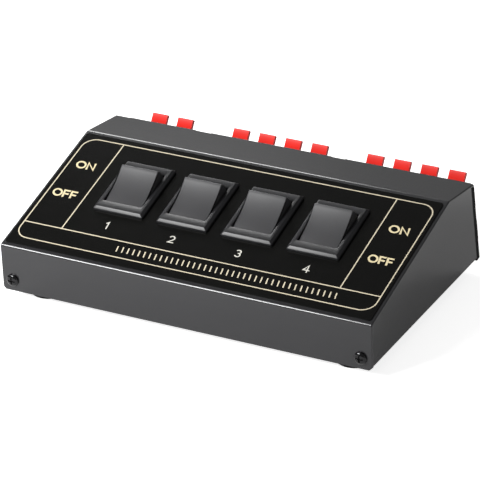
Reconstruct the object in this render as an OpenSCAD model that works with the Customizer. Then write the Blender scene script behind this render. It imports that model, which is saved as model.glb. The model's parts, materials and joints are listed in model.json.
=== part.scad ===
// Speaker selector switch: a folded steel console with four rocker switches on its sloping
// panel and three push-terminal blocks on its rear panel.
// Millimetres. +Z is up, -Y is the front, and the origin is on the surface that the feet stand
// on, under the middle of the outline.

/* [Console shell] */
// Width of the console
body_w = 185; // [176:1:230]
// Height of the front lip, from its lower edge to the front bend
front_h = 22.5; // [20:0.5:28]
// Distance from the front to the ridge bend
ridge_y = 80; // [76:1:100]
// Height of the ridge bend above the lip's lower edge
ridge_h = 44.5; // [43:0.5:56]
// Distance from the front to the rear edge of the top strip
top_y = 106.5; // [102:0.5:130]
// Height of the top strip's rear edge above the lip's lower edge
top_h = 41; // [40:0.5:52]
// Angle that the rear of the console leans forward
rear_lean = 9.5; // [0:0.5:14]
// Thickness of the sheet steel
sheet_t = 1; // [0.8:0.1:1.5]
// Outside radius of the front bend
front_bend_r = 1.8; // [1.6:0.1:4]
// Outside radius of the ridge bend
ridge_bend_r = 3; // [1.6:0.1:6]
// Outside radius of the edges along the side walls
edge_r = 0.7; // [0.4:0.1:1.6]
// How far the side walls stop above the lower edge of the front lip
side_lift = 2; // [1:0.25:4]
// Cut across the lower corners of the front lip
lip_cut = 1.6; // [0.5:0.1:3]
// Width of the inward tabs at the rear edges of the side walls
tab_w = 5.5; // [4:0.1:5.6]

/* [Base plate and feet] */
// Gap between the base plate and the shell
base_gap = 0.3; // [0.2:0.1:0.8]
// Height of the base plate's front flange
base_flange_h = 10; // [8:0.5:13]
// Height of the base plate's rear flange
rear_flange_h = 5; // [4.6:0.1:5.2]
// Height of the rubber feet
foot_h = 7; // [5:0.5:12]
// Radius of the rubber feet
foot_r = 10; // [7:0.5:12]
// Radius of the recess for the foot screw
foot_recess_r = 4.2; // [3.6:0.1:5]
// Depth of the recess for the foot screw
foot_recess_h = 4; // [3:0.25:4.5]
// Distance from the side walls to the centres of the feet
foot_inset_x = 15.5; // [13:0.5:25]
// Distance from the front and the rear of the base to the centres of the feet
foot_inset_y = 15.3; // [13:0.1:25]

/* [Screws] */
// Radius of the screw shanks
shank_r = 1.5; // [1.2:0.05:1.5]
// Radius of the screw heads
head_r = 3; // [2.6:0.1:3.2]
// Height of the domed screw heads
head_h = 1.8; // [1.4:0.1:2.2]
// Radial gap between a shank and its hole
shank_gap = 0.1; // [0.05:0.05:0.3]
// Distance from the side walls to the front screws
front_screw_x = 5.6; // [5:0.1:10]
// Height of the front screws above the lip's lower edge
front_screw_z = 5.4; // [5.2:0.1:8]
// Length of the front screws' shanks
front_screw_l = 7; // [5:0.5:10]
// How far the foot screws reach above the underside of the base plate
foot_screw_reach = 5; // [3:0.5:8]

/* [Panel overlay] */
// Thickness of the printed panel overlay
overlay_t = 0.4; // [0.2:0.05:0.8]
// Bare margin from the front bend to the overlay
overlay_low = 2; // [2:0.1:5]
// Bare margin from the overlay to the ridge bend
overlay_high = 2.2; // [2:0.1:5]
// Bare margin at each side of the overlay
overlay_side = 1.5; // [1.2:0.1:5]
// Corner radius of the overlay
overlay_r = 1.5; // [0.5:0.1:4]

/* [Rocker switches] */
// Distance between neighbouring switches
switch_pitch = 32.6; // [28:0.1:42]
// Distance from the front bend to the middle of the switches, along the slope
switch_s = 49.6; // [44:0.1:56]
// Width of the switch bezel
bezel_w = 25.4; // [24:0.1:27]
// Length of the switch bezel along the slope
bezel_l = 33.7; // [31:0.1:38]
// Height of the bezel above the overlay
bezel_h = 2.2; // [1.5:0.1:3]
// Bevel round the bezel
bezel_bevel = 1.1; // [0.4:0.1:1.4]
// Width of the rocker
rocker_w = 18.6; // [17:0.1:20]
// Radius of the rocker's ends about its pivot
rocker_r = 11.1; // [10.5:0.1:12.5]
// Half of the length of the rocker's pressed face
rocker_half = 9.9; // [9:0.1:10.2]
// Angle at which each end of the hollow face leaves the line through its ends
rocker_dish = 12; // [4:0.5:14]
// Depth of the rocker's skirt under its pivot
rocker_skirt = 6.5; // [5.5:0.1:7.5]
// Cut along the edges of the rocker's sides
rocker_soft = 0.5; // [0.2:0.05:0.8]
// Angle between the rocker's middle and each of its two rest positions
rocker_tilt = 19; // [10:0.5:20]
// Depth of the pivot under the top of the bezel
pivot_depth = 2.6; // [2:0.1:3]
// Radius of the rocker's pivot pins
rocker_pin_r = 1.5; // [1:0.1:1.6]
// Running gap round the rocker
rocker_gap = 0.4; // [0.3:0.05:0.5]
// Thickness of the switch body's side walls
switch_wall = 1.3; // [1:0.1:1.4]
// Depth of the switch body under the panel
switch_depth = 16; // [15.5:0.25:18]
// Gap between the switch body and the cut-out in the panel
cutout_gap = 0.25; // [0.1:0.05:0.4]
// Width of the solder lugs
lug_w = 4.8; // [3:0.1:5]
// Length of the solder lugs under the switch body
lug_l = 6; // [4:0.25:7]
// Distance between the solder lugs across the switch
lug_pitch_x = 9; // [8:0.25:12]
// Distance between the solder lugs along the switch
lug_pitch_s = 11; // [9:0.25:14]

/* [Terminal blocks] */
// Thickness of the rear panel
rear_t = 3; // [2.5:0.1:4]
// Distance between neighbouring levers
lever_pitch = 13.7; // [12.5:0.1:13.8]
// Distance between the upper and the lower row of levers
row_pitch = 15; // [14.5:0.1:15.4]
// Distance from the left side to the first lever of the input block
input_x = 17; // [15.5:0.1:18]
// Distance from the left side to the first lever of the first output block
output_a_x = 60.6; // [60:0.1:62]
// Distance from the left side to the first lever of the second output block
output_b_x = 130.2; // [129:0.1:130.4]
// Distance from the last lever to the right side
row_end = 13.7; // [13.5:0.1:15]
// Height of the lower edge of the blocks above the base plate
block_low = 5.5; // [5.3:0.1:6]
// Height of the blocks
block_h = 32; // [31.6:0.1:32.4]
// How far the blocks stand out of the rear panel
block_out = 3; // [2.6:0.1:4]
// Width of the screw ears at the ends of the blocks
ear_w = 5.5; // [5.3:0.1:6]
// Depth of the blocks behind the outside of the rear panel
block_in = 13.4; // [13:0.1:15]
// Width that the flange laps over the rear panel
flange_lap = 1.2; // [0.8:0.1:1.6]
// Gap between a block and its cut-out
block_gap = 0.2; // [0.1:0.05:0.4]
// Width of the chamber behind each lever
chamber_w = 10.5; // [10:0.1:10.8]
// Radius of the wire entry holes
wire_hole_r = 1.6; // [1.2:0.05:1.8]
// Distance from the lever's pivot down to the wire entry
wire_drop = 5.5; // [5.3:0.1:5.8]
// Height of the upper pivot above the base plate
upper_pivot_w = 29.5; // [29:0.1:30]
// Depth of the lever's pivot behind the outside of the rear panel
lever_pivot_v = 3.5; // [3.2:0.1:4]

/* [Levers] */
// Width of a lever
lever_w = 8; // [7:0.1:8.4]
// Thickness of a lever
lever_t = 1.9; // [1.6:0.1:2.1]
// How far the lever's tip stands out of the rear panel
lever_out = 13.4; // [11:0.1:14.5]
// Height of the lever's tip above its pivot
lever_rise = 5.4; // [4.8:0.1:6.5]
// Angle of the thumb tab from the panel's normal
tab_a = 45.5; // [30:0.5:60]
// Length of the thumb tab
tab_l = 5.8; // [4:0.1:7]
// Travel of a lever, in degrees
lever_travel = 20; // [10:1:22]
// Radius of the lever's pivot pins
lever_pin_r = 1.1; // [0.8:0.05:1.2]
// Radius of the lever's hub
hub_r = 2; // [1.8:0.1:2.2]
// Running gap of all pivots, on the radius
pivot_gap = 0.05; // [0.02:0.01:0.08]
// Length of the lever's two prongs, from its pivot
prong_l = 6; // [5.2:0.1:6.4]
// Width of each prong
prong_w = 1.9; // [1.2:0.1:2]
// Thickness of the clip springs
clip_t = 0.5; // [0.3:0.05:0.6]
// Width of the clip springs
clip_w = 6; // [4:0.1:7]

/* [Wiring] */
// Thickness of the terminal circuit board
board_t = 1.6; // [1:0.1:2]
// Radius of an insulated lead
lead_r = 0.8; // [0.5:0.05:1]
// Bend radius of the rear leads, on their middle line
lead_bend = 5; // [4:0.25:6]
// How much wider the front leads bend
lead_bend_step = 2.5; // [2:0.25:3]

/* [Hidden] */
// a sliver that cuts run past a face
past = 1;
// levels of the shell
base_z = foot_h;
lip_z = base_z - side_lift;
bend_z = lip_z + front_h;
top_z = lip_z + top_h;
ridge_z = lip_z + ridge_h;
slope_a = atan2(ridge_h - front_h, ridge_y);
slope_l = norm([ridge_y, ridge_h - front_h]);
// the rear frame: x, outward from the rear panel, and up along it
rear_y = top_y + (top_z - base_z) * tan(rear_lean);
rear_h = (top_z - base_z) / cos(rear_lean);
// the side view's corners, run past the lower and the rear edges of the shell
run_on = 12;
top_dir = [top_y - ridge_y, top_h - ridge_h] / norm([top_y - ridge_y, top_h - ridge_h]);
side_view = [
    [0, lip_z - run_on],
    [0, bend_z],
    [ridge_y, ridge_z],
    [top_y, top_z] + run_on * top_dir,
    [rear_y + run_on, lip_z - run_on]
];
bend_radii = [0, front_bend_r, ridge_bend_r, 0, 0];
// switches
pivot_n = overlay_t + bezel_h - pivot_depth;
pocket_half_w = rocker_w / 2 + rocker_gap;
pocket_r = rocker_r + rocker_gap;
body_half_w = pocket_half_w + switch_wall;
body_half_l = pocket_r + switch_wall + 1.5;
switch_x = [for (k = [0 : 3]) (k - 1.5) * switch_pitch];
// the terminals' places add up to the row's width, and spread out or close up to fill the console
spread = body_w / (output_b_x + 3 * lever_pitch + row_end);
terminal_pitch = lever_pitch * spread;
// width and height of the snap wings on the switch bodies
wing_w = 8;
wing_h = 5;
// terminal groups: distance of the first lever from the left side, and how many levers in a row
groups = [[input_x * spread, 2], [output_a_x * spread, 4], [output_b_x * spread, 4]];
lever_x = [for (g = groups) for (k = [0 : g[1] - 1]) g[0] + k * terminal_pitch - body_w / 2];
pivot_w = [upper_pivot_w, upper_pivot_w - row_pitch];
screw_hole_r = shank_r + shank_gap;
// height of the step in the ears round their screws
ear_step_h = 8;
// how far the shell's inward tabs stop short of the rear's lower and upper ends
tab_low = 2.5;
tab_high = 4.5;
small_head_r = 2.3;
small_head_h = 1.5;
block_screw_r = 1.2;
// the rear panel's screws sit just under the blocks
rear_screw_w = block_low - small_head_r - 0.15;
rear_screw_l = rear_t + 1.6;
rear_screw_inset = 13;
rear_screw_x = [-body_w / 2 + rear_screw_inset, 0, body_w / 2 - rear_screw_inset];
// chamber behind each lever, from its pivot
chamber_up = 4.6;
chamber_down = 8.2;
chamber_back = 1.2;
window_up = 3.3;
// room under the lever's arm, at the outside of the block, once the lever is pressed all the way
knee = [lever_out - tab_l * cos(tab_a), lever_rise - tab_l * sin(tab_a)];
pressed_a = lever_travel - atan2(knee[1], knee[0] + lever_pivot_v);
window_down = (lever_pivot_v + block_out) * tan(pressed_a) + lever_t / 2 / cos(pressed_a) + 0.45;
// half of the wall that stays between the pivot pins of neighbouring levers
pin_wall = 0.5;
pin_l = (terminal_pitch - chamber_w) / 2 - pin_wall;
// the prongs hang a little inward, about 0.3 mm from the clip's leaf
prong_lean = 8;
prong_t = 1.6;
// window in the clip's leaf that the wire passes through; its lower edge grips the wire
leaf_window_w = 3.6;
leaf_window_up = 2.1;
leaf_window_down = 1.4;
// distance from the rear panel to the terminal board
board_v = block_in + 2.4;
// how far the board reaches below the lower row's pivots and above the upper row's
board_below = 6;
board_above = 4;
// the object stands with the middle of its outline over the origin
tip_reach = lever_out * cos(rear_lean) - (pivot_w[1] + lever_rise) * sin(rear_lean);
mid_y = (rear_y + tip_reach + 0.3 - head_h) / 2;

// ---- outlines ----

function unit(v) = v / norm(v);

// Points of the arc that rounds corner b between a and c
function rounded_corner(a, b, c, r, steps = 6) =
    r <= 0 ? [b] :
    let (u = unit(a - b), w = unit(c - b), half = acos(u * w) / 2)
    let (centre = b + unit(u + w) * r / sin(half))
    let (from = b + u * r / tan(half) - centre, to = b + w * r / tan(half) - centre)
    let (a0 = atan2(from[1], from[0]), a1 = atan2(to[1], to[0]))
    let (turn = (a1 - a0 + 540) % 360 - 180)
    [for (i = [0 : steps]) centre + r * [cos(a0 + turn * i / steps), sin(a0 + turn * i / steps)]];

function rounded(points, radii, steps = 6) =
    let (n = len(points))
    [for (i = [0 : n - 1])
        each rounded_corner(points[(i + n - 1) % n], points[i], points[(i + 1) % n], radii[i], steps)];

// A convex outline, clockwise, with each side moved in by d
function inset(points, d) =
    let (n = len(points))
    [for (i = [0 : n - 1])
        let (e = unit(points[i] - points[(i + n - 1) % n]), f = unit(points[(i + 1) % n] - points[i]))
        let (p = [e[1], -e[0]], q = [f[1], -f[0]])
        points[i] + d * (p + q) / (1 + p * q)];

// The outline of a strip of thickness t along a path, with square ends
function strip(path, t) =
    let (n = len(path))
    let (dirs = [for (i = [0 : n - 2]) unit(path[i + 1] - path[i])])
    let (ups = [for (i = [0 : n - 1])
        let (e = dirs[max(i - 1, 0)], f = dirs[min(i, n - 2)], p = [-e[1], e[0]], q = [-f[1], f[0]])
        (p + q) / (1 + p * q)])
    concat([for (i = [0 : n - 1]) path[i] + ups[i] * t / 2],
        [for (i = [n - 1 : -1 : 0]) path[i] - ups[i] * t / 2]);

// ---- frames and basic solids ----

// Extrudes a side view (y, z) along x, centred on x
module along_x(w) {
    translate([-w / 2, 0, 0]) rotate([90, 0, 90]) linear_extrude(w) children();
}

module slope_frame() {
    translate([0, 0, bend_z]) rotate([slope_a, 0, 0]) children();
}

module rear_frame() {
    translate([0, rear_y, base_z]) rotate([rear_lean, 0, 0]) children();
}

// Puts the assembly over the origin
module place() {
    translate([0, -mid_y, 0]) children();
}

module box(low, high) {
    translate(low) cube(high - low);
}

// A pan head with a cross recess, its seat at the origin and its shank along -z
module pan_screw(r, h, shank, shank_length, tip = 0.4) {
    slot = r * 0.24;
    dome = [for (i = [0 : 6]) [r * cos(i * 15), h * (0.35 + 0.65 * sin(i * 15))]];
    difference() {
        union() {
            rotate_extrude($fn = 48) polygon(concat([[0, 0], [r, 0]], dome));
            translate([0, 0, -shank_length + tip]) cylinder(r = shank, h = shank_length - tip, $fn = 32);
            translate([0, 0, -shank_length]) cylinder(r1 = shank - tip, r2 = shank, h = tip, $fn = 32);
        }
        for (a = [0, 90]) rotate([0, 0, a])
            box([-r * 0.58, -slot / 2, h * 0.4], [r * 0.58, slot / 2, h + past]);
    }
}

// ---- folded shell and base ----

// The closed outer form, with rounded edges along both side walls
module shell_block() {
    steps = 4;
    slice = 0.02;
    hull() for (side = [-1, 1]) for (i = [0 : steps])
        let (a = 90 * i / steps, x = body_w / 2 - edge_r + edge_r * sin(a) - slice / 2)
        translate([side * x, 0, 0]) along_x(slice)
            polygon(rounded(inset(side_view, edge_r * (1 - cos(a))), bend_radii));
}

// The side view of everything behind the plane v = from_v, up to the underside of the top strip
module behind_rear(from_v) {
    under = inset(side_view, sheet_t);
    low = [rear_y + from_v / cos(rear_lean), base_z];
    up = [-sin(rear_lean), cos(rear_lean)];
    across = under[2] - low;
    // where the plane meets the underside of the top strip
    reach = (across[0] * top_dir[1] - across[1] * top_dir[0]) / (up[0] * top_dir[1] - up[1] * top_dir[0]);
    polygon([
        low - up * run_on * 2,
        low + up * reach,
        under[3] + run_on * top_dir,
        under[3] + [run_on, -body_w]
    ]);
}

module switch_cutouts(from_n, to_n) {
    for (x = switch_x) slope_frame()
        box([x - body_half_w - cutout_gap, switch_s - body_half_l - cutout_gap, from_n],
            [x + body_half_w + cutout_gap, switch_s + body_half_l + cutout_gap, to_n]);
}

module front_screw_places() {
    for (side = [-1, 1]) translate([side * (body_w / 2 - front_screw_x), 0, lip_z + front_screw_z])
        rotate([90, 0, 0]) children();
}

module top_cover() color("#4a4a4c") place() {
    inner = inset(side_view, sheet_t);
    inner_radii = [for (r = bend_radii) max(r - sheet_t, 0)];
    difference() {
        union() {
            difference() {
                shell_block();
                along_x(body_w - 2 * sheet_t) polygon(rounded(inner, inner_radii, 4));
            }
            // inward tabs that the rear panel bears on
            rear_frame() for (side = [-1, 1]) scale([side, 1, 1])
                box([body_w / 2 - sheet_t - tab_w, -rear_t - sheet_t, tab_low],
                    [body_w / 2 - sheet_t / 2, -rear_t / 2, rear_h - tab_high]);
        }
        // lower edges: the lip hangs below the side walls
        box([-body_w, -past, lip_z - 2 * run_on], [body_w, sheet_t, lip_z]);
        box([-body_w, sheet_t, lip_z - 2 * run_on], [body_w, rear_y + 2 * run_on, base_z]);
        for (side = [-1, 1]) translate([side * body_w / 2, sheet_t / 2, lip_z]) rotate([0, 45, 0])
            cube([lip_cut * sqrt(2), sheet_t + 2 * past, lip_cut * sqrt(2)], center = true);
        // rear edges: the top strip runs on over the rear panel
        along_x(body_w + 2 * past) behind_rear(-rear_t);
        rear_frame() box([-body_w, 0, -run_on], [body_w, 3 * run_on, rear_h + run_on]);
        switch_cutouts(-sheet_t - past, past);
        front_screw_places() cylinder(r = screw_hole_r, h = 4 * sheet_t, center = true, $fn = 32);
        // the outermost block screws pass through the tabs
        rear_frame() block_screw_places() translate([0, 0, -rear_t - sheet_t - past])
            cylinder(r = block_screw_r + shank_gap, h = sheet_t + 2 * past, $fn = 24);
    }
}

module base_plate() color("#1c1c1e") place() {
    half_w = body_w / 2 - sheet_t - base_gap;
    front = sheet_t + base_gap / 3;
    difference() {
        union() {
            // floor, up to the rear flange
            along_x(2 * half_w) polygon([
                [front, base_z],
                [front, base_z + base_flange_h],
                [front + sheet_t, base_z + base_flange_h],
                [front + sheet_t, base_z + sheet_t],
                [rear_y - rear_t - 3 * sheet_t, base_z + sheet_t],
                [rear_y - rear_t - 3 * sheet_t, base_z]
            ]);
            // rear flange, between the shell's tabs
            rear_half_w = half_w - tab_w - base_gap;
            along_x(2 * rear_half_w) polygon([
                [rear_y - rear_t - 3 * sheet_t, base_z],
                [rear_y - rear_t - 3 * sheet_t, base_z + sheet_t],
                rear_point(-rear_t - base_gap / 3 - sheet_t, sheet_t),
                rear_point(-rear_t - base_gap / 3 - sheet_t, rear_flange_h),
                rear_point(-rear_t - base_gap / 3, rear_flange_h),
                [rear_point(-rear_t - base_gap / 3, 0)[0], base_z]
            ]);
        }
        front_screw_places() translate([0, 0, -front - sheet_t - past])
            cylinder(r = screw_hole_r, h = sheet_t + 2 * past, $fn = 32);
        foot_places() translate([0, 0, base_z - past])
            cylinder(r = screw_hole_r, h = sheet_t + 2 * past, $fn = 32);
        rear_frame() for (x = rear_screw_x) translate([x, 0, rear_screw_w]) rotate([90, 0, 0])
            cylinder(r = block_screw_r + shank_gap, h = rear_screw_l + past, $fn = 24);
    }
}

// A point of the rear frame, (outward, up), in the side view
function rear_point(v, w) =
    [rear_y + v * cos(rear_lean) - w * sin(rear_lean), base_z + v * sin(rear_lean) + w * cos(rear_lean)];

module foot_places() {
    for (x = [-1, 1] * (body_w / 2 - foot_inset_x), y = [foot_inset_y, rear_y - rear_t - foot_inset_y])
        translate([x, y, 0]) children();
}

module feet() color("#151515") place() foot_places() rotate_extrude($fn = 64) polygon([
    [screw_hole_r, foot_recess_h],
    [foot_recess_r, foot_recess_h],
    [foot_recess_r, 0],
    [foot_r - 1.2, 0],
    [foot_r - 0.5, 0.7],
    [foot_r, foot_h],
    [screw_hole_r, foot_h]
]);

module foot_screws() color("#2a2a2a") place() foot_places()
    translate([0, 0, foot_recess_h]) rotate([180, 0, 0])
        pan_screw(head_r, head_h, shank_r, foot_h - foot_recess_h + foot_screw_reach);

module front_screws() color("#101010") place() front_screw_places()
    pan_screw(head_r, head_h, shank_r, front_screw_l);

// ---- panel overlay and switches ----

module panel_overlay() color("#161614") place() difference() {
    x = body_w / 2 - overlay_side;
    high = slope_l - overlay_high;
    outline = [[-x, overlay_low], [-x, high], [x, high], [x, overlay_low]];
    slope_frame() linear_extrude(overlay_t) polygon(rounded(outline, [for (i = [0 : 3]) overlay_r], 5));
    switch_cutouts(-past, overlay_t + past);
}

module switch_frame(k) color("#505052") place() slope_frame() translate([switch_x[k], switch_s, 0]) {
    difference() {
        union() {
            // bevelled bezel
            hull() {
                translate([-bezel_w / 2, -bezel_l / 2, overlay_t])
                    cube([bezel_w, bezel_l, bezel_h - bezel_bevel]);
                translate([-bezel_w / 2 + bezel_bevel, -bezel_l / 2 + bezel_bevel, overlay_t])
                    cube([bezel_w - 2 * bezel_bevel, bezel_l - 2 * bezel_bevel, bezel_h]);
            }
            box([-body_half_w, -body_half_l, -switch_depth],
                [body_half_w, body_half_l, overlay_t + bezel_h / 4]);
            // snap wings under the sheet
            for (side = [-1, 1]) scale([1, side, 1]) rotate([90, 0, 90]) translate([0, 0, -wing_w / 2])
                linear_extrude(wing_w) polygon([
                    [body_half_l - past, -sheet_t - 0.2],
                    [body_half_l + 1.1, -sheet_t - 0.2],
                    [body_half_l + 1.1, -sheet_t - 1.2],
                    [body_half_l, -sheet_t - wing_h],
                    [body_half_l - past, -sheet_t - wing_h]
                ]);
        }
        // pocket that the rocker turns in
        translate([0, 0, pivot_n]) {
            along_x(2 * pocket_half_w) {
                circle(r = pocket_r, $fn = 96);
                translate([-pocket_r, 0]) square([2 * pocket_r, pivot_depth + past]);
            }
            rotate([0, 90, 0])
                cylinder(r = rocker_pin_r + pivot_gap, h = 3 * body_half_w, center = true, $fn = 30);
        }
        // slots that the lugs stand in
        lug_places()
            box([-lug_w / 2 - 0.02, -0.42, -switch_depth - past],
                [lug_w / 2 + 0.02, 0.42, -switch_depth + 2]);
    }
}

// The rocker's side view about its pivot, clockwise: a hollow face between two ends that are arcs
// about the pivot. The hollow is a parabola.
function rocker_side() =
    let (end_z = sqrt(rocker_r * rocker_r - rocker_half * rocker_half))
    let (a0 = asin(-rocker_skirt / rocker_r), a1 = atan2(end_z, rocker_half))
    let (end = [for (i = [0 : 6]) let (a = a0 + (a1 - a0) * i / 6) rocker_r * [cos(a), sin(a)]])
    let (deep = rocker_half * tan(rocker_dish) / 2)
    let (face = [for (t = [-0.8 : 0.2 : 0.81]) [rocker_half * t, end_z - deep * (1 - t * t)]])
    concat([for (p = end) [-p[0], p[1]]], face, [for (i = [6 : -1 : 0]) end[i]]);

// A side view (y, z), clockwise, carried along x and centred, with both rims cut back by soft
module soft_along_x(outline, w, soft) {
    n = len(outline);
    small = inset(outline, soft);
    rims = [[-w / 2, small], [-w / 2 + soft, outline], [w / 2 - soft, outline], [w / 2, small]];
    polyhedron(
        [for (rim = rims) for (p = rim[1]) [rim[0], p[0], p[1]]],
        concat(
            [[for (i = [n - 1 : -1 : 0]) i], [for (i = [0 : n - 1]) 3 * n + i]],
            [for (r = [0 : 2]) for (i = [0 : n - 1]) let (j = (i + 1) % n)
                [r * n + i, r * n + j, (r + 1) * n + j, (r + 1) * n + i]]
        )
    );
}

module rocker(k) color("#6a6a6c") place() slope_frame()
    translate([switch_x[k], switch_s, pivot_n]) rotate([rocker_tilt, 0, 0]) {
        soft_along_x(rocker_side(), rocker_w, rocker_soft);
        rotate([0, 90, 0])
            cylinder(r = rocker_pin_r, h = 2 * (body_half_w - 0.3), center = true, $fn = 30);
    }

module lug_places() {
    for (x = [-1, 1] * lug_pitch_x / 2, s = [-1, 1] * lug_pitch_s / 2) translate([x, s, 0]) children();
}

module switch_lugs(k) color("#c0b8a0") place() slope_frame()
    translate([switch_x[k], switch_s, 0]) lug_places() difference() {
        box([-lug_w / 2, -0.4, -switch_depth - lug_l], [lug_w / 2, 0.4, -switch_depth + 1.8]);
        translate([0, 0, -switch_depth - lug_l + 1.8]) rotate([90, 0, 0])
            cylinder(r = 0.8, h = 2, center = true, $fn = 24);
    }

// ---- rear panel and terminals ----

function block_mid(g) = g[0] + (g[1] - 1) * terminal_pitch / 2 - body_w / 2;
function block_half(g) = g[1] * terminal_pitch / 2;

module rear_panel() color("#141416") place() {
    gap = 0.15;
    difference() {
        intersection() {
            along_x(body_w) behind_rear(-rear_t + gap / 3);
            // its lower edge hangs a little below the side walls, and the top strip covers its upper edge
            rear_frame() box([-body_w / 2, -rear_t, -side_lift / 2], [body_w / 2, 0, rear_h]);
            translate([0, -gap * sin(slope_a), -gap]) along_x(body_w) behind_rear(-2 * rear_t);
        }
        for (g = groups) rear_frame() translate([block_mid(g), 0, block_low])
            box([-block_half(g) - block_gap, -rear_t - past, flange_lap - block_gap],
                [block_half(g) + block_gap, past, block_h - flange_lap + block_gap]);
        rear_frame() {
            for (x = rear_screw_x) translate([x, 0, rear_screw_w]) rotate([90, 0, 0])
                cylinder(r = block_screw_r + shank_gap, h = 3 * rear_t, center = true, $fn = 24);
            block_screw_places()
                cylinder(r = block_screw_r + shank_gap, h = 3 * rear_t, center = true, $fn = 24);
        }
    }
}

// The screws in the blocks' ears, from the rear frame, with +z outward
module block_screw_places() {
    for (g = groups, side = [-1, 1])
        translate([block_mid(g) + side * (block_half(g) + ear_w / 2), 0, block_low + block_h / 2])
            rotate([-90, 0, 0]) children();
}

// A moulded housing with a chamber, a lever window and a wire entry for each terminal
module terminal_block(g) color("#1b1b1d") place() rear_frame() {
    mid = block_mid(g);
    half = block_half(g);
    difference() {
        union() {
            // flange with rounded ears
            translate([mid, 0, block_low + block_h / 2]) rotate([-90, 0, 0])
                linear_extrude(block_out) polygon(rounded([
                    [-half - ear_w, -block_h / 2],
                    [-half - ear_w, block_h / 2],
                    [half + ear_w, block_h / 2],
                    [half + ear_w, -block_h / 2]
                ], [2, 2, 2, 2], 5));
            box([mid - half, -block_in, block_low + flange_lap],
                [mid + half, 0, block_low + block_h - flange_lap]);
        }
        for (k = [0 : g[1] - 1], w = pivot_w) translate([mid + (k + 0.5) * terminal_pitch - half, 0, w])
            terminal_hollow();
        // ears step down round their screws
        for (side = [-1, 1])
            translate([mid + side * (half + ear_w / 2 + 0.6), block_out, block_low + block_h / 2])
                cube([ear_w + 0.8, 2, ear_step_h], center = true);
        block_screw_places()
            cylinder(r = block_screw_r + shank_gap, h = 4 * block_out, center = true, $fn = 24);
    }
}

// What one terminal takes out of the housing, from its pivot's height on the panel's outside
module terminal_hollow() {
    box([-chamber_w / 2, -block_in + chamber_back, -chamber_down], [chamber_w / 2, 0, chamber_up]);
    box([-lever_w / 2 - 0.4, -past, -window_down], [lever_w / 2 + 0.4, block_out + past, window_up]);
    // a shallow lead-in round the window and the wire entry
    box([-lever_w / 2 - 0.9, block_out - 0.5, -wire_drop - wire_hole_r - 0.8],
        [lever_w / 2 + 0.9, block_out + past, window_up + 0.5]);
    translate([0, block_out + past, -wire_drop]) rotate([90, 0, 0])
        cylinder(r = wire_hole_r, h = block_out + 2 * past, $fn = 32);
    translate([0, -lever_pivot_v, 0]) rotate([0, 90, 0])
        cylinder(r = lever_pin_r + pivot_gap, h = chamber_w + 2 * pin_l + 0.2, center = true, $fn = 24);
    // slit for the clip's solder tail
    box([-clip_w / 2 - 0.05, -block_in - past, -1 - clip_t / 2 - 0.05],
        [clip_w / 2 + 0.05, -block_in + chamber_back + past, -1 + clip_t / 2 + 0.05]);
}

// The lever's side view: hub, arm and raised thumb tab
module lever_side() {
    hub = [-lever_pivot_v, 0];
    translate(hub) circle(r = hub_r, $fn = 48);
    polygon(strip([hub, knee, [lever_out, lever_rise]], lever_t));
}

// The prongs that push the clip inward, one on each side of the wire
module lever_prongs() {
    for (side = [-1, 1]) translate([side * (lever_w - prong_w) / 2, 0, 0]) along_x(prong_w)
        translate([-lever_pivot_v, 0]) rotate(-prong_lean) translate([-prong_t / 2, -prong_l])
            square([prong_t, prong_l]);
}

module lever(i) {
    x = lever_x[i % 10];
    w = pivot_w[floor(i / 10)];
    place() rear_frame() translate([x, 0, w]) {
        along_x(lever_w) lever_side();
        lever_prongs();
        translate([0, -lever_pivot_v, 0]) rotate([0, 90, 0]) {
            cylinder(r = hub_r, h = chamber_w - 0.6, center = true, $fn = 48);
            cylinder(r = lever_pin_r, h = chamber_w + 2 * pin_l - 0.2, center = true, $fn = 24);
        }
    }
}

// A bent clip spring for each terminal, with a tail through the housing and a window in its leaf
module clips(g) color("#c8c0a4") place() rear_frame()
    for (k = [0 : g[1] - 1], w = pivot_w)
        translate([block_mid(g) + (k + 0.5) * terminal_pitch - block_half(g), 0, w]) difference() {
            along_x(clip_w) polygon(strip([
                [-board_v - board_t - 1.6, -1],
                [-block_in + chamber_back + 0.9, -1],
                [-block_in + chamber_back + 0.9, 3.6],
                [-block_in + chamber_back + 2.7, 3.6],
                [-lever_pivot_v - 1.6, -chamber_down + 0.6]
            ], clip_t));
            box([-leaf_window_w / 2, -block_in, -wire_drop - leaf_window_down],
                [leaf_window_w / 2, 0, -wire_drop + leaf_window_up]);
        }

module terminal_board() color("#8a6a3a") place() rear_frame() difference() {
    low = pivot_w[1] - board_below;
    high = pivot_w[0] + board_above;
    left = lever_x[0] - terminal_pitch / 2;
    right = lever_x[9] + terminal_pitch / 2;
    box([left, -board_v - board_t, low], [right, -board_v, high]);
    for (x = lever_x, w = pivot_w)
        box([x - clip_w / 2 - 0.1, -board_v - board_t - past, w - 1 - clip_t / 2 - 0.1],
            [x + clip_w / 2 + 0.1, -board_v + past, w - 1 + clip_t / 2 + 0.1]);
}

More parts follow.
